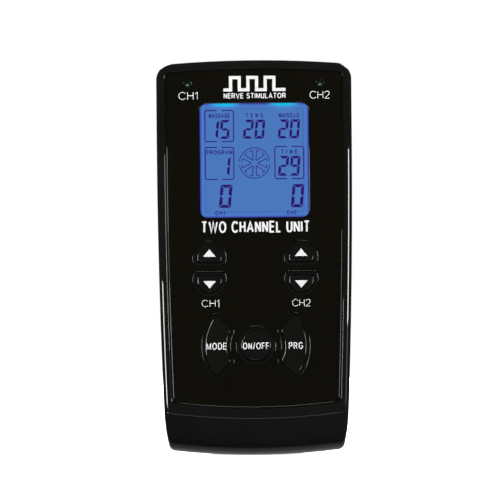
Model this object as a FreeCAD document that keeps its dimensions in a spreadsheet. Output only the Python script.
import FreeCAD, Part

import math
import os
import re

import Sketcher

# A hand-held two-channel muscle and nerve stimulator, standing on its lower end.
# X runs to the right of someone who looks at its face, Y from the face to the back and Z up
# to the output sockets.  Depths are counted from the plane of the bezel, in millimetres.

V = FreeCAD.Vector

SIZES = {
    # Case
    "height": 141.8,
    "half_width": 35.0,
    "case_depth": 28.0,
    "front_y": -17.75,
    "parting": 12.0,
    "wall": 2.2,
    "top_arc": 394.0,
    "top_corner": 5.75,
    "taper_start": 112.0,
    "taper_arc": 2445.0,
    "flare_start": 16.0,
    "flare_arc": 69.0,
    "foot_arc": 245.0,
    "foot_corner": 2.65,
    "front_round": 1.6,
    "back_round": 2.4,
    "seam_round": 0.25,
    # Chin, which bends back below the fascia
    "crease_z": 13.4,
    "chin_angle": 13.0,
    "chin_roll": 9.5,
    "chin_roll_z": 9.45,
    "crease_round": 1.2,
    "chin_room_front": 5.7,
    "chin_room_z": 11.4,
    "chin_room_half_z": 6.6,
    # Fascia and the recess it lies in
    "fascia_inset": 3.45,
    "fascia_foot": 17.2,
    "fascia_corner": 2.0,
    "fascia_sunk": 0.3,
    "groove": 0.4,
    "seat_depth": 1.5,
    "front_wall": 2.7,
    "edge_break": 0.3,
    # Display
    "lens_half_x": 19.35,
    "lens_half_z": 20.3,
    "lens_z": 105.9,
    "lens_corner": 2.4,
    "lens_gap": 0.15,
    "lens_flange": 1.6,
    "lens_back": 3.3,
    "glass_half_x": 21.2,
    "glass_half_z": 22.3,
    "glass_front": 3.6,
    "glass_back": 5.2,
    "light_back": 7.8,
    "frame_wall": 1.2,
    "strip_ledge": 2.4,
    # Board
    "board_half_x": 24.6,
    "board_half_z": 60.2,
    "board_z": 76.2,
    "board_front": 9.0,
    "board_back": 10.6,
    "lamp_half_x": 1.5,
    "lamp_half_z": 2.0,
    "lamp_row_x": 12.0,
    "strip_width": 2.0,
    "can_r": 2.8,
    "big_can_r": 3.2,
    "can_length": 9.0,
    "buzzer_r": 6.0,
    "buzzer_length": 5.5,
    "buzzer_x": 15.0,
    "buzzer_z": 88.0,
    # Round middle button and the two curved ones about it
    "pad_z": 39.4,
    "power_r": 5.5,
    "power_well": 6.9,
    "sector_inner": 10.3,
    "sector_outer": 18.3,
    "sector_offset": 2.33,
    "sector_corner": 1.4,
    "sector_well_corner": 2.1,
    "sector_well_gap": 0.95,
    "sector_key_x": 14.3,
    # Up and down keys
    "arrow_x": 16.45,
    "arrow_mid_z": 67.1,
    "arrow_rise": 4.0,
    "arrow_r": 4.55,
    "arrow_flat": 1.6,
    "arrow_corner": 0.8,
    "arrow_well_corner": 0.9,
    "arrow_well_gap": 1.25,
    "arrow_key_rise": 5.6,
    # Every button
    "cap_gap": 0.3,
    "cap_lip": 0.8,
    "lip_front": 2.8,
    "lip_back": 3.6,
    "cap_round": 0.5,
    "stem_r": 2.2,
    "stem_back": 4.4,
    "plunger_r": 1.7,
    "plunger_back": 6.4,
    "key_bore": 1.78,
    "key_bore_back": 7.6,
    "key_front": 5.4,
    "key_half": 3.0,
    # Channel lamps
    "lamp_x": 23.75,
    "lamp_z": 133.1,
    "lamp_r": 1.17,
    "lamp_hole": 1.3,
    "lamp_front": 0.7,
    "lamp_collar": 1.5,
    "lamp_collar_front": 7.6,
    # Sockets in the top end
    "output_x": 16.0,
    "socket_depth": 16.0,
    "socket_half_x": 4.5,
    "socket_back": 20.6,
    "socket_floor": 125.2,
    "socket_top": 138.8,
    "nose_r": 3.3,
    "nose_hole": 3.5,
    "nose_top": 140.9,
    "output_bore": 1.8,
    "output_bore_z": 127.9,
    "charger_bore": 1.3,
    "charger_bore_z": 129.9,
    # Battery bay and door
    "bay_half_x": 21.7,
    "bay_half_z": 25.6,
    "bay_z": 42.6,
    "bay_front": 15.4,
    "shelf_front": 14.2,
    "cell_r": 5.2,
    "cell_pitch": 10.7,
    "half_pitch": 5.35,
    "cell_depth": 20.8,
    "cell_length": 43.7,
    "cell_foot": 22.4,
    "contact_half_x": 4.4,
    "contact_thick": 0.4,
    "contact_front": 16.6,
    "contact_back": 25.0,
    "contact_room": 1.2,
    "cell_spring_foot": 17.75,
    "nub_r": 2.0,
    "nub_length": 0.8,
    "door_front": 26.4,
    "door_half_x": 23.0,
    "door_top": 70.6,
    "door_gap": 0.25,
    "tongue_width": 1.2,
    "tongue_front": 26.8,
    "tongue_back": 27.5,
    "tongue_foot": 6.0,
    "grip_half_x": 8.0,
    "grip_depth": 0.35,
    "grip_foot": 54.0,
    "grip_width": 1.0,
    "grip_pitch": 2.0,
    "pocket_half_x": 2.2,
    "pocket_x": 28.0,
    "pocket_back": 25.6,
    # Screws
    "screw_x": 28.0,
    "screw_low_z": 24.0,
    "screw_high_z": 121.0,
    "boss_r": 2.9,
    "screw_shank": 1.1,
    "screw_hole": 1.35,
    "screw_head": 2.1,
    "head_hole": 2.3,
    "head_front": 24.0,
    "head_back": 25.6,
    "screw_tip": 5.6,
    "slot_half_x": 1.3,
    "slot_half_z": 0.25,
    "slot_depth": 0.6,
    "pilot_front": 4.6,
    "post_x": 22.0,
    "post_low_z": 20.0,
    "post_mid_z": 55.0,
    "post_top_x": 8.5,
    "post_top_z": 133.6,
    "post_r": 2.1,
    "board_shank": 0.9,
    "board_screw_tip": 5.0,
    "board_head": 1.7,
    "board_head_back": 11.8,
    # Belt clip
    "pin_z": 112.0,
    "pin_depth": 30.7,
    "pin_r": 1.0,
    "pin_bore": 1.06,
    "pin_half_length": 13.5,
    "ear_inner": 11.0,
    "ear_thick": 2.5,
    "ear_r": 2.0,
    "knuckle_inner": 4.6,
    "knuckle_thick": 6.1,
    "clip_half_x": 14.5,
    "clip_front": 33.2,
    "clip_back": 35.5,
    "clip_half_z": 23.5,
    "clip_z": 97.5,
    "clip_corner": 5.0,
    "clip_round": 0.8,
    "clip_lip_front": 29.2,
    "clip_lip_half": 1.3,
    "clip_lip_half_x": 10.0,
    "label_half_x": 20.0,
    "label_half_z": 5.5,
    "label_z": 130.0,
    "label_sunk": 0.25,
}

# Radius of the wire, radius of the coil, spacing and number of turns of both kinds of spring
CLIP_SPRING = {"wire": 0.35, "radius": 1.55, "pitch": 0.95, "turns": 7}
CELL_SPRING = {"wire": 0.3, "radius": 2.2, "pitch": 1.4, "turns": 3}
CELLS = 4
GRIPS = 6

# What stands on the back of the board: half width, middle, back, lower and upper end of each
CHIPS = {
    "controller_chip": [("5.5", "0", "12.2", "84", "95")],
    "driver_chips": [
        ("2.5", "0 - 11", "12.3", "56", "62"),
        ("2.5", "11", "12.3", "56", "62"),
        ("3.0", "0", "12.5", "72", "77"),
    ],
    "output_transformers": [
        ("6.5", "0 - 14.5", "22.6", "103", "117"),
        ("6.5", "14.5", "22.6", "103", "117"),
    ],
}
# Radius and place of each round can
CANS = (("can_r", "0 - 5", "100"), ("can_r", "5", "100"), ("big_can_r", "0", "110"))

ROLES = {"front": "XZ_Plane", "level": "XY_Plane", "side": "YZ_Plane"}
LEVELS = {"up": 1, "down": -1}

doc = FreeCAD.newDocument("tens_unit")
nodes = []


def make_sheet():
    """Write every driving size to the spreadsheet, one named cell each."""
    sheet = doc.addObject("Spreadsheet::Sheet", "Sizes")
    for row, (alias, value) in enumerate(SIZES.items(), start=1):
        sheet.set(f"A{row}", alias)
        sheet.set(f"B{row}", str(value))
        sheet.setAlias(f"B{row}", alias)
    doc.recompute()


def amount(text):
    """Value of a sum of named sizes, such as "bay_z - bay_half_z"."""
    total, sign = 0.0, 1
    for word in text.split():
        if word in "+-":
            sign = 1 if word == "+" else -1
        else:
            total += sign * (SIZES[word] if word in SIZES else float(word))
    return total


def less(whole, part):
    """The sum whole - (part), with the signs inside part turned over."""
    return f"{whole} - {part.translate(str.maketrans('+-', '-+'))}"


def formula(text):
    """The same sum as an expression on the sheet's cells; here it may hold brackets too."""
    return re.sub(r"[a-z]\w+", lambda word: f"Sizes.{word.group()}", text)


def bind(thing, path, text):
    thing.setExpression(path, formula(text))


# ---------------------------------------------------------------- sketches


def new_body(label):
    body = doc.addObject("PartDesign::Body", label)
    body.Label = label
    body.AllowCompound = True
    nodes.append(body)
    return body


def new_sketch(body, view, x="0", depth="0", z="0"):
    """A sketch seen from the front, from above (level) or from the side, with its origin at
    the given place."""
    sketch = body.newObject("Sketcher::SketchObject", f"{body.Name}_sketch")
    planes = body.Origin.OriginFeatures
    sketch.AttachmentSupport = (next(p for p in planes if p.Role == ROLES[view]), [""])
    sketch.MapMode = "FlatFace"
    back = f"Sizes.front_y + {formula(depth)}"
    places = {
        "front": (formula(x), formula(z), f"-({back})"),
        "level": (formula(x), back, formula(z)),
        "side": (back, formula(z), formula(x)),
    }
    for letter, place in zip("xyz", places[view]):
        sketch.setExpression(f"AttachmentOffset.Base.{letter}", place)
    return sketch


def dimension(sketch, text, kind, *where, value=None):
    """Add a dimensional constraint whose value is a sum of named sizes."""
    start = amount(text) if value is None else value
    index = sketch.addConstraint(Sketcher.Constraint(kind, *where, start))
    bind(sketch, f"Constraints[{index}]", text)


def relate(sketch, kind, *where):
    sketch.addConstraint(Sketcher.Constraint(kind, *where))


def join_ends(sketch, count, smooth=()):
    """Join each edge's end to the next edge's start, tangent where the joint is smooth."""
    for edge in range(count):
        kind = "Tangent" if edge in smooth else "Coincident"
        relate(sketch, kind, edge, 2, (edge + 1) % count, 1)


def rectangle(sketch, half_wide, half_high):
    wide, high = amount(half_wide), amount(half_high)
    corners = [V(-wide, -high), V(wide, -high), V(wide, high), V(-wide, high)]
    for first, second in zip(corners, corners[1:] + corners[:1]):
        sketch.addGeometry(Part.LineSegment(first, second))
    join_ends(sketch, 4)
    for edge in range(4):
        relate(sketch, "Vertical" if edge % 2 else "Horizontal", edge)
    relate(sketch, "Symmetric", 0, 1, 1, 2, -1, 1)
    dimension(sketch, half_wide, "DistanceX", -1, 1, 1, 2)
    dimension(sketch, half_high, "DistanceY", -1, 1, 1, 2)


def circle(sketch, radius):
    index = sketch.addGeometry(Part.Circle(V(), V(0, 0, 1), amount(radius)))
    relate(sketch, "Coincident", index, 3, -1, 1)
    dimension(sketch, radius, "Radius", index)


def add_arc(sketch, centre, radius, start, end):
    whole = Part.Circle(centre, V(0, 0, 1), radius)
    return sketch.addGeometry(Part.ArcOfCircle(whole, start, end))


def half_disc(sketch, radius, flat, level):
    """A round key cut off by a flat: below its centre for the up key, above for the down key."""
    reach, cut = amount(radius), amount(flat)
    dip = math.asin(cut / reach)
    turn = 0 if level > 0 else math.pi
    arc = add_arc(sketch, V(), reach, turn - dip, turn + math.pi + dip)
    half = math.sqrt(reach * reach - cut * cut)
    chord = sketch.addGeometry(
        Part.LineSegment(V(-half * level, -cut * level), V(half * level, -cut * level))
    )
    join_ends(sketch, 2)
    relate(sketch, "Coincident", arc, 3, -1, 1)
    relate(sketch, "Horizontal", chord)
    dimension(sketch, radius, "Radius", arc)
    ends = (chord, 1, -1, 1) if level > 0 else (-1, 1, chord, 1)
    dimension(sketch, flat, "DistanceY", *ends)


def sector(sketch, side, grow):
    """A curved key beside the round one, between two arcs and two lines at 45 degrees."""
    outer, inner = f"sector_outer + {grow}", less("sector_inner", grow)
    offset = less("sector_offset", grow)
    big, small, off = amount(outer), amount(inner), amount(offset)
    far = math.acos(off / big) - math.pi / 4
    near = math.acos(off / small) - math.pi / 4
    turn = 0 if side > 0 else math.pi

    def at(radius, angle):
        return V(side * radius * math.cos(angle), radius * math.sin(angle))

    add_arc(sketch, V(), big, turn - far, turn + far)
    first, last = (far, near) if side > 0 else (-far, -near)
    sketch.addGeometry(Part.LineSegment(at(big, first), at(small, last)))
    add_arc(sketch, V(), small, turn - near, turn + near)
    sketch.addGeometry(Part.LineSegment(at(small, -last), at(big, -first)))
    relate(sketch, "Coincident", 0, 2, 1, 1)
    relate(sketch, "Coincident", 1, 2, 2, 2)
    relate(sketch, "Coincident", 2, 1, 3, 1)
    relate(sketch, "Coincident", 3, 2, 0, 1)
    for arc, radius in ((0, outer), (2, inner)):
        relate(sketch, "Coincident", arc, 3, -1, 1)
        dimension(sketch, radius, "Radius", arc)
    sides = ((1, at(big, first), at(small, last)), (3, at(small, -last), at(big, -first)))
    for line, start, end in sides:
        run = end - start
        sketch.addConstraint(Sketcher.Constraint("Angle", line, math.atan2(run.y, run.x)))
        dimension(sketch, offset, "Distance", -1, 1, line)


def crossing(first, first_radius, second, second_radius):
    """The lower right point where two circles cross."""
    gap = second - first
    along = (gap.Length**2 + first_radius**2 - second_radius**2) / (2 * gap.Length)
    away = math.sqrt(first_radius**2 - along**2)
    unit = gap * (1 / gap.Length)
    middle = first + unit * along
    ends = [middle + V(unit.y, -unit.x) * away, middle - V(unit.y, -unit.x) * away]
    return max(ends, key=lambda point: point.x)


def angle_of(point, centre):
    return math.atan2(point.y - centre.y, point.x - centre.x)


def outline(sketch, side_in="0", top_in="0", foot_in="0", flare=True):
    """The case's outline from the front, moved in by the given amounts: an arched foot and
    top, and sides that are straight at the top, taper slowly and then turn in."""
    side = amount(side_in)
    half, taper_z = amount("half_width") - side, SIZES["taper_start"]
    taper_centre = V(SIZES["half_width"] - SIZES["taper_arc"], taper_z)
    taper = SIZES["taper_arc"] - side
    top_centre, top = V(0, SIZES["height"] - SIZES["top_arc"]), amount(less("top_arc", top_in))
    foot_centre, foot = V(0, SIZES["foot_arc"]), amount(less("foot_arc", foot_in))
    low_centre, low = taper_centre, taper
    if flare:
        lean = math.asin((taper_z - SIZES["flare_start"]) / taper)
        low = SIZES["flare_arc"] - side
        low_centre = taper_centre + V(math.cos(lean), -math.sin(lean)) * (taper - low)
    corner = crossing(low_centre, low, foot_centre, foot)
    corner_angle = angle_of(corner, low_centre)
    foot_angle = angle_of(corner, foot_centre)
    top_z = top_centre.y + math.sqrt(top * top - half * half)
    top_angle = angle_of(V(half, top_z), top_centre)

    def mirrored(centre):
        return V(-centre.x, centre.y)

    bottom = add_arc(sketch, foot_centre, foot, -math.pi - foot_angle, foot_angle)
    right_low = add_arc(sketch, low_centre, low, corner_angle, -lean) if flare else None
    right = add_arc(sketch, taper_centre, taper, -lean if flare else corner_angle, 0)
    right_line = sketch.addGeometry(Part.LineSegment(V(half, taper_z), V(half, top_z)))
    crown = add_arc(sketch, top_centre, top, top_angle, math.pi - top_angle)
    left_line = sketch.addGeometry(Part.LineSegment(V(-half, top_z), V(-half, taper_z)))
    left_end = math.pi + (lean if flare else -corner_angle)
    left = add_arc(sketch, mirrored(taper_centre), taper, math.pi, left_end)
    left_low = None
    if flare:
        left_low = add_arc(sketch, mirrored(low_centre), low, math.pi + lean, math.pi - corner_angle)
    smooth = {right, left_line}
    smooth.update({right_low, left} if flare else ())
    join_ends(sketch, 8 if flare else 6, smooth)

    for arc in (right, left):
        dimension(sketch, less("taper_arc", side_in), "Radius", arc)
    dimension(sketch, less("top_arc", top_in), "Radius", crown)
    dimension(sketch, less("foot_arc", foot_in), "Radius", bottom)
    for line in (right_line, left_line):
        relate(sketch, "Vertical", line)
    dimension(sketch, less("half_width", side_in), "DistanceX", -1, 1, right_line, 1)
    dimension(sketch, less("half_width", side_in), "DistanceX", left_line, 1, -1, 1)
    dimension(sketch, "taper_start", "DistanceY", -1, 1, right_line, 1)
    dimension(sketch, "taper_start", "DistanceY", -1, 1, left_line, 2)
    for arc in (crown, bottom):
        relate(sketch, "PointOnObject", arc, 3, -2)
    dimension(sketch, "top_arc - height", "DistanceY", crown, 3, -1, 1)
    dimension(sketch, "foot_arc", "DistanceY", -1, 1, bottom, 3)
    if flare:
        for arc, end in ((right_low, 2), (left_low, 1)):
            dimension(sketch, less("flare_arc", side_in), "Radius", arc)
            dimension(sketch, "flare_start", "DistanceY", -1, 1, arc, end)


# ---------------------------------------------------------------- features


def seen_from_front(sketch):
    return sketch.AttachmentSupport[0][0].Role == ROLES["front"]


def pad(body, sketch, length):
    """Grow the sketch backwards, upwards or to the right, whichever is along its axis."""
    feature = body.newObject("PartDesign::Pad", f"{body.Name}_pad")
    feature.Profile = sketch
    bind(feature, "Length", length)
    feature.Reversed = seen_from_front(sketch)
    return feature


def pocket(body, sketch, length):
    """Cut the sketch out of the body, the same way as pad grows it."""
    doc.recompute()
    before = body.Shape.Volume
    feature = body.newObject("PartDesign::Pocket", f"{body.Name}_pocket")
    feature.Profile = sketch
    bind(feature, "Length", length)
    feature.Reversed = not seen_from_front(sketch)
    doc.recompute()
    if body.Shape.Volume > before - 1e-6:
        raise RuntimeError(f"{feature.Name} cuts nothing")
    return feature


def round_edges(body, radius, chosen):
    """Round the edges of the body so far that the test picks."""
    doc.recompute()
    tip = body.Tip
    names = [f"Edge{i}" for i, edge in enumerate(tip.Shape.Edges, start=1) if chosen(edge)]
    if not names:
        raise RuntimeError(f"{body.Label} has no edge to round")
    feature = body.newObject("PartDesign::Fillet", f"{body.Name}_round")
    feature.Base = (tip, names)
    bind(feature, "Radius", radius)
    return feature


def runs_back(edge, low=-math.inf, high=math.inf):
    """Whether an edge is parallel to Y, with its height between the two limits."""
    box = edge.BoundBox
    return box.XLength < 0.01 and box.ZLength < 0.01 and low < box.ZMin < high and box.YLength > 0.2


def lies_at(edge, depth):
    """Whether an edge lies in the plane at that depth behind the bezel."""
    box = edge.BoundBox
    place = SIZES["front_y"] + depth
    return box.YLength < 0.01 and abs(box.YMin - place) < 0.01


def reach(edge):
    """The furthest that an edge comes from the upright middle line."""
    box = edge.BoundBox
    return max(abs(box.XMin), abs(box.XMax))


# ---------------------------------------------------------------- Part primitives


def place(solid, x, depth, z):
    bind(solid, "Placement.Base.x", x)
    bind(solid, "Placement.Base.y", f"front_y + {depth}")
    bind(solid, "Placement.Base.z", z)
    return solid


def block(name, half_x, x, front, back, low, high):
    """A box between two depths and two heights, centred across."""
    solid = doc.addObject("Part::Box", name)
    bind(solid, "Length", f"2 * ({half_x})")
    bind(solid, "Width", f"({back}) - ({front})")
    bind(solid, "Height", f"({high}) - ({low})")
    return place(solid, f"{x} - ({half_x})", front, low)


TURNS = {"up": (V(0, 0, 1), 0), "back": (V(1, 0, 0), -90), "right": (V(0, 1, 0), 90)}


def rod(name, towards, radius, length, x, depth, z):
    """A cylinder from a point, upwards, backwards or to the right."""
    solid = doc.addObject("Part::Cylinder", name)
    solid.Placement.Rotation = FreeCAD.Rotation(*TURNS[towards])
    bind(solid, "Radius", radius)
    bind(solid, "Height", length)
    return place(solid, x, depth, z)


def fuse(label, parts):
    joined = doc.addObject("Part::MultiFuse", label)
    joined.Shapes = parts
    return joined


def cut(label, base, tool):
    carved = doc.addObject("Part::Cut", label)
    carved.Base = base
    carved.Tool = tool
    return carved


def group(label, parts):
    """Several like pieces in one node."""
    gathered = doc.addObject("Part::Compound", label)
    gathered.Links = parts
    return keep(gathered, label)


def keep(thing, label):
    """Make an object one of the sub-parts, under that label."""
    thing.Label = label
    nodes.append(thing)
    return thing


# ---------------------------------------------------------------- button faces


def buttons():
    """Each button's name, its face drawn larger by an amount, and the place of its switch."""
    yield "power_button", "0", "pad_z", "0", "pad_z", lambda sketch, grow: circle(
        sketch, f"power_r + {grow}"
    )
    for name, side in (("mode_button", -1), ("programme_button", 1)):
        key_x = "sector_key_x" if side > 0 else "0 - sector_key_x"
        yield name, "0", "pad_z", key_x, "pad_z", lambda sketch, grow, side=side: sector(
            sketch, side, grow
        )
    for channel, side in (("channel_1", -1), ("channel_2", 1)):
        x = "arrow_x" if side > 0 else "0 - arrow_x"
        for way, level in LEVELS.items():
            sign = "+" if level > 0 else "-"
            yield (
                f"{channel}_{way}_button",
                x,
                f"arrow_mid_z {sign} arrow_rise",
                x,
                f"arrow_mid_z {sign} arrow_key_rise",
                lambda sketch, grow, level=level: half_disc(
                    sketch, f"arrow_r + {grow}", f"arrow_flat + {grow}", level
                ),
            )


def well_growth(name):
    """How much wider a button's well in the fascia is than its cap."""
    if name == "power_button":
        return "power_well - power_r"
    return "arrow_well_gap" if name.startswith("channel") else "sector_well_gap"


def cut_button_faces(body, growth, depth, length):
    """Cut one opening for each button, wider than its cap by the growth of that button."""
    for name, x, z, _, _, face in buttons():
        sketch = new_sketch(body, "front", x, depth, z)
        face(sketch, growth(name))
        pocket(body, sketch, length)


def cut_round(body, radius, x, depth, z, length):
    sketch = new_sketch(body, "front", x, depth, z)
    circle(sketch, radius)
    return pocket(body, sketch, length)


def mirror_names(alias):
    """A size as an offset to each side of the middle."""
    return (f"0 - {alias}", alias)


# ---------------------------------------------------------------- case


def cut_chin(body):
    """Bend the lower end of the front back: a short slope, then a roll into the foot.  The
    profile turns about the axis of the foot's arc, so the crease is parallel to the foot."""
    sketch = new_sketch(body, "side")
    angle = math.radians(SIZES["chin_angle"])
    roll, crease = SIZES["chin_roll"], SIZES["crease_z"]
    start = V(0, crease)
    tangent_z = SIZES["chin_roll_z"] - roll * math.sin(angle)
    tangent = V((crease - tangent_z) * math.tan(angle), tangent_z)
    centre = tangent + V(math.cos(angle), math.sin(angle)) * roll
    end_angle = math.pi + math.asin(SIZES["chin_roll_z"] / roll)
    end = centre + V(math.cos(end_angle), math.sin(end_angle)) * roll
    below, ahead = -2.0, -2.0

    slope = sketch.addGeometry(Part.LineSegment(start, tangent))
    arc = add_arc(sketch, centre, roll, math.pi + angle, end_angle)
    drop = sketch.addGeometry(Part.LineSegment(end, V(end.x, below)))
    under = sketch.addGeometry(Part.LineSegment(V(end.x, below), V(ahead, below)))
    rise = sketch.addGeometry(Part.LineSegment(V(ahead, below), V(ahead, crease)))
    back = sketch.addGeometry(Part.LineSegment(V(ahead, crease), start))
    join_ends(sketch, 6, smooth={slope})
    for line in (drop, rise):
        relate(sketch, "Vertical", line)
    for line in (under, back):
        relate(sketch, "Horizontal", line)
    relate(sketch, "PointOnObject", slope, 1, -2)
    relate(sketch, "PointOnObject", arc, 2, -1)
    dimension(sketch, "crease_z", "DistanceY", -1, 1, slope, 1)
    dimension(sketch, "chin_roll", "Radius", arc)
    dimension(sketch, "chin_roll_z", "DistanceY", -1, 1, arc, 3)
    slope_angle = Sketcher.Constraint("Angle", slope, angle - math.pi / 2)
    index = sketch.addConstraint(slope_angle)
    sketch.setExpression(f"Constraints[{index}]", "Sizes.chin_angle * 1deg - 90deg")
    sketch.addConstraint(Sketcher.Constraint("DistanceY", rise, 1, -1, 1, -below))
    sketch.addConstraint(Sketcher.Constraint("DistanceX", rise, 1, -1, 1, -ahead))

    axis = Part.LineSegment(V(0, SIZES["foot_arc"]), V(10, SIZES["foot_arc"]))
    turning = sketch.addGeometry(axis, True)
    relate(sketch, "Horizontal", turning)
    relate(sketch, "PointOnObject", turning, 1, -2)
    dimension(sketch, "foot_arc", "DistanceY", -1, 1, turning, 1)
    sketch.addConstraint(Sketcher.Constraint("DistanceX", turning, 1, turning, 2, 10))

    # The sketch's X axis is the part's depth, so it starts at the plane of the bezel.
    doc.recompute()
    before = body.Shape.Volume
    groove = body.newObject("PartDesign::Groove", f"{body.Name}_chin")
    groove.Profile = sketch
    groove.ReferenceAxis = (sketch, ["Axis0"])
    groove.Angle = 360
    doc.recompute()
    if body.Shape.Volume > before - 1:
        raise RuntimeError("the chin is not cut")
    round_edges(body, "crease_round", is_crease)


def is_crease(edge):
    """Whether an edge is the crease where the flat bezel meets the chin's slope."""
    return lies_at(edge, 0) and edge.BoundBox.ZMax < SIZES["crease_z"] + 4


def round_corners(body):
    """Round the case's four corners; the smooth joints between its sides' arcs stay."""
    round_edges(body, "top_corner", lambda e: runs_back(e, low=SIZES["taper_start"] + 1))
    round_edges(body, "foot_corner", lambda e: runs_back(e, high=SIZES["flare_start"] - 1))


def make_front_case():
    body = new_body("front_case")
    shell = new_sketch(body, "front")
    outline(shell)
    pad(body, shell, "parting")
    round_corners(body)
    round_edges(body, "front_round", lambda e: lies_at(e, 0))
    round_edges(body, "seam_round", lambda e: lies_at(e, SIZES["parting"]))
    cut_chin(body)

    recess = new_sketch(body, "front")
    outline(
        recess,
        "fascia_inset - groove",
        "fascia_inset - groove",
        "fascia_foot - groove",
        flare=False,
    )
    pocket(body, recess, "seat_depth")
    round_edges(body, "fascia_corner + groove", lambda e: runs_back(e) and is_recess_edge(e))
    round_edges(body, "edge_break", lambda e: lies_at(e, 0) and is_recess_edge(e))

    cavity = new_sketch(body, "front", depth="front_wall")
    outline(cavity, "wall", "wall", "crease_z + wall", flare=False)
    pocket(body, cavity, "parting")
    chin_room = new_sketch(body, "front", depth="chin_room_front", z="chin_room_z")
    rectangle(chin_room, "half_width - 8", "chin_room_half_z")
    pocket(body, chin_room, "parting")

    window = new_sketch(body, "front", depth="seat_depth - 0.2", z="lens_z")
    rectangle(window, "lens_half_x + lens_gap", "lens_half_z + lens_gap")
    pocket(body, window, "3")
    cut_button_faces(body, lambda name: "cap_gap", "seat_depth - 0.2", "3")
    for x in mirror_names("lamp_x"):
        cut_round(body, "lamp_hole", x, "seat_depth - 0.2", "lamp_z", "3")

    for x in mirror_names("screw_x"):
        for z in ("screw_low_z", "screw_high_z"):
            boss = new_sketch(body, "front", x, "front_wall - 0.2", z)
            circle(boss, "boss_r")
            pad(body, boss, "parting - front_wall + 0.2")
            cut_round(body, "screw_shank", x, "pilot_front", z, "parting")
    for x, z in board_posts():
        post = new_sketch(body, "front", x, "front_wall - 0.2", z)
        circle(post, "post_r")
        pad(body, post, "board_front - front_wall + 0.2")
        cut_round(body, "board_shank", x, "board_screw_tip", z, "parting")


def board_posts():
    """The places of the six posts that the board is screwed to."""
    places = [(x, z) for x in mirror_names("post_x") for z in ("post_low_z", "post_mid_z")]
    return places + [(x, "post_top_z") for x in mirror_names("post_top_x")]


def is_recess_edge(edge):
    """Whether an edge belongs to the recess for the fascia, inside the case's rim."""
    box = edge.BoundBox
    inset = amount("fascia_inset - groove") - 0.01
    across = reach(edge) < SIZES["half_width"] - inset
    upright = amount("fascia_foot - groove") - 0.01 < box.ZMin and box.ZMax < SIZES["height"] - inset
    return across and upright and box.YLength < SIZES["seat_depth"] + 0.01


def make_fascia():
    body = new_body("fascia_panel")
    panel = new_sketch(body, "front", depth="fascia_sunk")
    outline(panel, "fascia_inset", "fascia_inset", "fascia_foot", flare=False)
    pad(body, panel, "seat_depth - fascia_sunk")
    round_edges(body, "fascia_corner", lambda e: runs_back(e) and reach(e) > 25)

    window = new_sketch(body, "front", z="lens_z")
    rectangle(window, "lens_half_x + lens_gap", "lens_half_z + lens_gap")
    pocket(body, window, "3")
    round_edges(
        body, "lens_corner + lens_gap", lambda e: runs_back(e, low=80) and reach(e) < 25
    )
    cut_button_faces(body, well_growth, "0", "3")
    round_edges(body, "sector_well_corner", lambda e: is_well_corner(e, arrows=False))
    round_edges(body, "arrow_well_corner", lambda e: is_well_corner(e, arrows=True))
    for x in mirror_names("lamp_x"):
        cut_round(body, "lamp_hole", x, "0", "lamp_z", "3")
    round_edges(body, "edge_break", lambda e: lies_at(e, SIZES["fascia_sunk"]))


def is_well_corner(edge, arrows):
    """Whether an edge is an upright corner of a well, for the arrow keys or for the curved ones;
    the round middle well has none."""
    split = (SIZES["pad_z"] + SIZES["arrow_mid_z"]) / 2
    beside_middle = abs(edge.BoundBox.ZMin - SIZES["pad_z"]) > 1
    right_keys = (edge.BoundBox.ZMin > split) == arrows
    return runs_back(edge, high=80) and reach(edge) < 24 and beside_middle and right_keys


def make_display():
    body = new_body("display_window")
    pane = new_sketch(body, "front", depth="fascia_sunk", z="lens_z")
    rectangle(pane, "lens_half_x", "lens_half_z")
    pad(body, pane, "lens_back - fascia_sunk")
    round_edges(body, "lens_corner", runs_back)
    flange = new_sketch(body, "front", depth="front_wall", z="lens_z")
    rectangle(flange, "lens_half_x + lens_flange", "lens_half_z + lens_flange")
    pad(body, flange, "lens_back - front_wall")

    glass = new_body("display_glass")
    sheet = new_sketch(glass, "front", depth="glass_front", z="lens_z")
    rectangle(sheet, "glass_half_x", "glass_half_z")
    pad(glass, sheet, "glass_back - glass_front")

    light = new_body("light_panel")
    guide = new_sketch(light, "front", depth="glass_back", z="lens_z")
    rectangle(guide, "glass_half_x", "glass_half_z - strip_ledge")
    pad(light, guide, "light_back - glass_back")

    holder = new_body("display_frame")
    rim = new_sketch(holder, "front", depth="glass_front", z="lens_z")
    rectangle(rim, "glass_half_x + frame_wall", "glass_half_z + frame_wall")
    pad(holder, rim, "board_front - glass_front")
    inside = new_sketch(holder, "front", depth="glass_front", z="lens_z")
    rectangle(inside, "glass_half_x", "glass_half_z")
    pocket(holder, inside, "board_front")

    lamp_rows = []
    span = ("light_back", "board_front", "lens_z - lamp_half_z", "lens_z + lamp_half_z")
    for name, x in zip(("left", "right"), mirror_names("lamp_row_x")):
        lamp_rows.append(block(f"light_{name}", "lamp_half_x", x, *span))
    group("display_lamps", lamp_rows)
    strips = []
    feet = {"low": "lens_z - glass_half_z", "high": "lens_z + glass_half_z - strip_width"}
    for name, z in feet.items():
        span = ("glass_back", "board_front", z, f"{z} + strip_width")
        strips.append(block(f"strip_{name}", "glass_half_x - strip_width", "0", *span))
    group("connector_strips", strips)


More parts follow.
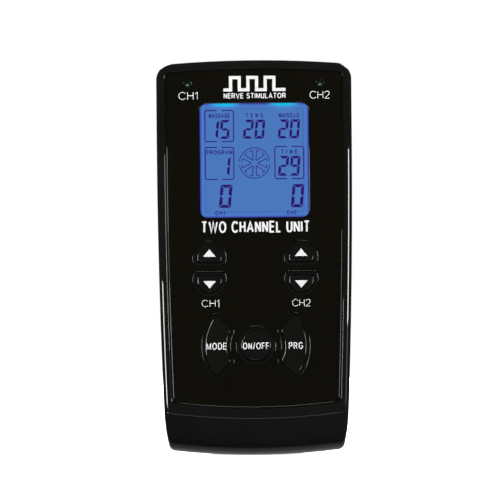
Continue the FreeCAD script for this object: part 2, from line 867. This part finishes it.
def make_board():
    body = new_body("main_board")
    plate = new_sketch(body, "front", depth="board_front", z="board_z")
    rectangle(plate, "board_half_x", "board_half_z")
    pad(body, plate, "board_back - board_front")
    for x, z in board_posts():
        cut_round(body, "board_shank + 0.1", x, "board_front - 1", z, "5")

    screws = []
    for index, (x, z) in enumerate(board_posts(), start=1):
        length = "board_head_back - board_screw_tip"
        thick = "board_head_back - board_back"
        shank = rod(f"board_shank_{index}", "back", "board_shank", length, x, "board_screw_tip", z)
        head = rod(f"board_head_{index}", "back", "board_head", thick, x, "board_back", z)
        screws.append(fuse(f"board_screw_{index}", [shank, head]))
    group("board_screws", screws)

    for label, sizes in CHIPS.items():
        blocks = []
        for index, (half_x, x, back, low, high) in enumerate(sizes, start=1):
            blocks.append(block(f"{label}_{index}", half_x, x, "board_back", back, low, high))
        group(label, blocks)
    cans = []
    for index, (radius, x, z) in enumerate(CANS, start=1):
        cans.append(rod(f"can_{index}", "back", radius, "can_length", x, "board_back", z))
    group("capacitors", cans)
    buzzer_place = ("0 - buzzer_x", "board_back", "buzzer_z")
    group("buzzer", [rod("buzzer_can", "back", "buzzer_r", "buzzer_length", *buzzer_place)])


def make_lamps():
    body = new_body("channel_lamps")
    for x in mirror_names("lamp_x"):
        stem = new_sketch(body, "front", x, "lamp_front", "lamp_z")
        circle(stem, "lamp_r")
        pad(body, stem, "board_front - lamp_front")
        collar = new_sketch(body, "front", x, "lamp_collar_front", "lamp_z")
        circle(collar, "lamp_collar")
        pad(body, collar, "board_front - lamp_collar_front")
    round_edges(body, "lamp_r - 0.1", lambda e: lies_at(e, SIZES["lamp_front"]))


def make_buttons():
    """Each cap with its lip and stem, and the plunger of the switch that it presses."""
    switches = []
    for name, x, z, key_x, key_z, face in buttons():
        cap = new_body(name)
        top = new_sketch(cap, "front", x, "0", z)
        face(top, "0")
        pad(cap, top, "lip_back")
        if name != "power_button":
            corner = "arrow_corner" if name.startswith("channel") else "sector_corner"
            round_edges(cap, corner, runs_back)
        round_edges(cap, "cap_round", lambda e: lies_at(e, 0))
        lip = new_sketch(cap, "front", x, "lip_front", z)
        face(lip, "cap_lip")
        pad(cap, lip, "lip_back - lip_front")
        stem = new_sketch(cap, "front", key_x, "lip_back", key_z)
        circle(stem, "stem_r")
        pad(cap, stem, "stem_back - lip_back")

        plunger = new_body(name.replace("button", "plunger"))
        pin = new_sketch(plunger, "front", key_x, "stem_back", key_z)
        circle(pin, "plunger_r")
        pad(plunger, pin, "plunger_back - stem_back")

        low, high = f"{key_z} - key_half", f"{key_z} + key_half"
        box = block(f"{name}_key", "key_half", key_x, "key_front", "board_front", low, high)
        depth = "key_bore_back - key_front"
        bore = rod(f"{name}_bore", "back", "key_bore", depth, key_x, "key_front", key_z)
        switches.append(cut(f"{name}_switch", box, bore))
    group("switch_housings", switches)


def make_sockets():
    """Two output sockets and the charger's, which open through the top end."""
    places = (
        ("output_socket_1", "0 - output_x", "output_bore", "output_bore_z"),
        ("output_socket_2", "output_x", "output_bore", "output_bore_z"),
        ("charger_socket", "0", "charger_bore", "charger_bore_z"),
    )
    contacts = []
    for label, x, bore, bore_z in places:
        body = new_body(label)
        seat = new_sketch(body, "front", x, "board_back", "socket_floor + 6.8")
        rectangle(seat, "socket_half_x", "6.8")
        pad(body, seat, "socket_back - board_back")
        nose = new_sketch(body, "level", x, "socket_depth", "socket_top - 1")
        circle(nose, "nose_r")
        pad(body, nose, "nose_top - socket_top + 1")
        hole = new_sketch(body, "level", x, "socket_depth", bore_z)
        circle(hole, bore)
        pocket(body, hole, "20")
        side = f"{x} + socket_half_x + 0.2"
        span = ("board_back", "socket_back", "socket_floor + 1", "socket_floor + 4")
        contacts.append(block(f"{label}_tab", "0.2", side, *span))
    group("socket_contacts", contacts)


def make_rear_blank(body):
    """The rear shell's outside, with its back edge and its edge at the seam rounded."""
    shell = new_sketch(body, "front", depth="parting")
    outline(shell)
    pad(body, shell, "case_depth - parting")
    round_corners(body)
    round_edges(body, "back_round", lambda e: lies_at(e, SIZES["case_depth"]))
    round_edges(body, "seam_round", lambda e: lies_at(e, SIZES["parting"]))


def make_rear_case():
    body = new_body("rear_case")
    make_rear_blank(body)

    shallow = new_sketch(body, "front", depth="parting")
    outline(shallow, "wall", "wall", "wall")
    pocket(body, shallow, "shelf_front - parting")
    upper = new_sketch(body, "front", depth="parting")
    outline(upper, "wall", "wall", "door_top + 1.6", flare=False)
    pocket(body, upper, "case_depth - wall - parting")
    for x in mirror_names("pocket_x"):
        side_room = new_sketch(body, "front", x, "parting", "bay_z")
        rectangle(side_room, "pocket_half_x", "bay_half_z")
        pocket(body, side_room, "pocket_back - parting")

    bay = new_sketch(body, "front", depth="bay_front", z="bay_z")
    rectangle(bay, "bay_half_x", "bay_half_z")
    pocket(body, bay, "case_depth")
    for half, front, back in (
        ("door_half_x + door_gap", "door_front - door_gap", "case_depth + 1"),
        (
            "door_half_x + tongue_width + door_gap",
            "tongue_front - door_gap",
            "tongue_back + door_gap",
        ),
    ):
        track = new_sketch(body, "front", depth=front, z="door_top - 40 + door_gap")
        rectangle(track, half, "40")
        pocket(body, track, f"{back} - ({front})")

    for x in mirror_names("screw_x"):
        for z in ("screw_low_z", "screw_high_z"):
            boss = new_sketch(body, "front", x, "parting", z)
            circle(boss, "boss_r")
            pad(body, boss, "case_depth - wall - parting + 0.4")
            cut_round(body, "screw_hole", x, "parting - 1", z, "20")
            cut_round(body, "head_hole", x, "head_front", z, "8")

    for x in ("0 - output_x", "0", "output_x"):
        hole = new_sketch(body, "level", x, "socket_depth", "socket_top - 1")
        circle(hole, "nose_hole")
        pocket(body, hole, "10")

    patch = new_sketch(body, "front", depth="case_depth - label_sunk", z="label_z")
    rectangle(patch, "label_half_x + 0.2", "label_half_z + 0.2")
    pocket(body, patch, "1")

    for x in ("0 - ear_inner - ear_thick", "ear_inner"):
        foot = new_sketch(body, "side", x, "pin_depth - 2", "pin_z")
        rectangle(foot, "2", "ear_r")
        pad(body, foot, "ear_thick")
        eye = new_sketch(body, "side", x, "pin_depth", "pin_z")
        circle(eye, "ear_r")
        pad(body, eye, "ear_thick")
    hole = new_sketch(body, "side", "0 - pin_half_length - 1", "pin_depth", "pin_z")
    circle(hole, "pin_r")
    pocket(body, hole, "pin_half_length + pin_half_length + 2")


def make_label():
    """A blank foil in the shallow patch above the clip."""
    depths = ("case_depth - label_sunk", "case_depth")
    heights = ("label_z - label_half_z", "label_z + label_half_z")
    group("rating_label", [block("label_sheet", "label_half_x", "0", *depths, *heights)])


def make_battery():
    """Four cells side by side, each with a contact plate above and a spring on a plate below."""
    cells, springs, plates = [], [], []
    nub_foot = "cell_foot + cell_length"
    feet = {"low": "bay_z - bay_half_z", "high": "bay_z + bay_half_z - contact_room"}
    for index in range(CELLS):
        x = cell_place(index - (CELLS - 1) / 2)
        can = rod(f"cell_{index}", "up", "cell_r", "cell_length", x, "cell_depth", "cell_foot")
        nub = rod(f"nub_{index}", "up", "nub_r", "nub_length", x, "cell_depth", nub_foot)
        cells.append(fuse(f"whole_cell_{index}", [can, nub]))
        foot = V(amount(x), amount("front_y + cell_depth"), SIZES["cell_spring_foot"])
        springs.append(coil(CELL_SPRING))
        springs[-1].translate(foot)
        for name, low in feet.items():
            span = ("contact_front", "contact_back", low, f"{low} + contact_thick")
            plates.append(block(f"plate_{name}_{index}", "contact_half_x", x, *span))
    group("battery_cells", cells)
    group("battery_contacts", plates)
    loops = doc.addObject("Part::Feature", "battery_springs")
    loops.Shape = Part.makeCompound(springs)
    keep(loops, "battery_springs")


def cell_place(steps):
    """The sum of named sizes for a cell that is so many pitches from the middle, which lies
    between two cells."""
    sign = "+" if steps > 0 else "-"
    whole = int(abs(steps) - 0.5)
    return f"0 {sign} half_pitch" + f" {sign} cell_pitch" * whole


def coil(spring):
    """A wire wound upwards about the Z axis."""
    height = spring["pitch"] * spring["turns"]
    helix = Part.makeHelix(spring["pitch"], height, spring["radius"])
    section = Part.makeCircle(spring["wire"], V(spring["radius"], 0, 0), V(0, 1, 0))
    return Part.Wire(helix).makePipeShell([Part.Wire(section)], True, True)


def make_door():
    """A plate with the case's own outside, which slides off downwards on two tongues."""
    blank = doc.addObject("PartDesign::Body", "door_blank")
    blank.AllowCompound = True
    make_rear_blank(blank)
    span = ("door_front", "case_depth + 1", "0 - 1", "door_top")
    slab = block("door_slab", "door_half_x", "0", *span)
    plate = doc.addObject("Part::Common", "door_plate")
    plate.Base = blank
    plate.Tool = slab
    tongues = []
    for name, x in zip(("left", "right"), mirror_names("door_half_x")):
        span = ("tongue_front", "tongue_back", "tongue_foot", "door_top")
        tongues.append(block(f"tongue_{name}", "tongue_width", x, *span))
    whole = fuse("door_whole", [plate, *tongues])
    ribs = []
    low = "grip_foot"
    for step in range(GRIPS):
        span = ("case_depth - grip_depth", "case_depth + 1", low, f"{low} + grip_width")
        ribs.append(block(f"grip_{step}", "grip_half_x", "0", *span))
        low += " + grip_pitch"
    keep(cut("battery_door", whole, fuse("grips", ribs)), "battery_door")


def make_screws():
    screws = []
    for x in mirror_names("screw_x"):
        for z in ("screw_low_z", "screw_high_z"):
            name = f"{len(screws) + 1}"
            length, thick = "head_back - screw_tip", "head_back - head_front"
            shank = rod(f"shank_{name}", "back", "screw_shank", length, x, "screw_tip", z)
            head = rod(f"head_{name}", "back", "screw_head", thick, x, "head_front", z)
            depths = ("head_back - slot_depth", "head_back + 1")
            heights = (f"{z} - slot_half_z", f"{z} + slot_half_z")
            slot = block(f"slot_{name}", "slot_half_x", x, *depths, *heights)
            screws.append(cut(f"screw_{name}", fuse(f"raw_screw_{name}", [shank, head]), slot))
    group("case_screws", screws)


def make_clip():
    body = new_body("belt_clip")
    plate = new_sketch(body, "front", depth="clip_front", z="clip_z")
    rectangle(plate, "clip_half_x", "clip_half_z")
    pad(body, plate, "clip_back - clip_front")
    round_edges(body, "clip_corner", runs_back)
    round_edges(body, "clip_round", lambda e: lies_at(e, SIZES["clip_back"]))
    lip_z = "clip_z - clip_half_z + clip_lip_half + 0.6"
    lip = new_sketch(body, "front", depth="clip_lip_front", z=lip_z)
    rectangle(lip, "clip_lip_half_x", "clip_lip_half")
    pad(body, lip, "clip_front - clip_lip_front + 0.5")
    for x in ("0 - knuckle_inner - knuckle_thick", "knuckle_inner"):
        web = new_sketch(body, "side", x, "pin_depth + 1.6", "pin_z")
        rectangle(web, "1.6", "ear_r")
        pad(body, web, "knuckle_thick")
        eye = new_sketch(body, "side", x, "pin_depth", "pin_z")
        circle(eye, "ear_r")
        pad(body, eye, "knuckle_thick")
    hole = new_sketch(body, "side", "0 - pin_half_length", "pin_depth", "pin_z")
    circle(hole, "pin_bore")
    pocket(body, hole, "pin_half_length + pin_half_length")

    length = "pin_half_length + pin_half_length"
    pin_place = ("0 - pin_half_length", "pin_depth", "pin_z")
    group("clip_pin", [rod("pin_rod", "right", "pin_r", length, *pin_place)])
    spring = coil(CLIP_SPRING)
    spring.rotate(V(), V(0, 1, 0), 90)
    half = CLIP_SPRING["pitch"] * CLIP_SPRING["turns"] / 2
    spring.translate(V(-half, amount("front_y + pin_depth"), SIZES["pin_z"]))
    coils = doc.addObject("Part::Feature", "clip_spring")
    coils.Shape = spring
    keep(coils, "clip_spring")


def write_parts():
    """Check every object, then write each sub-part to its own file."""
    doc.recompute()
    for thing in doc.Objects:
        if "Invalid" in thing.State or "Error" in thing.State:
            raise RuntimeError(f"{thing.Name} failed: {thing.State}")
    for node in nodes:
        if node.Shape.isNull() or not node.Shape.isValid():
            raise RuntimeError(f"{node.Label} has no valid shape")
    os.makedirs("parts", exist_ok=True)
    for node in nodes:
        node.Shape.exportStep(f"parts/{node.Label}.step")
    print(len(nodes), "sub-parts")


make_sheet()
make_front_case()
make_fascia()
make_display()
make_board()
make_lamps()
make_buttons()
make_sockets()
make_rear_case()
make_label()
make_battery()
make_door()
make_screws()
make_clip()
write_parts()
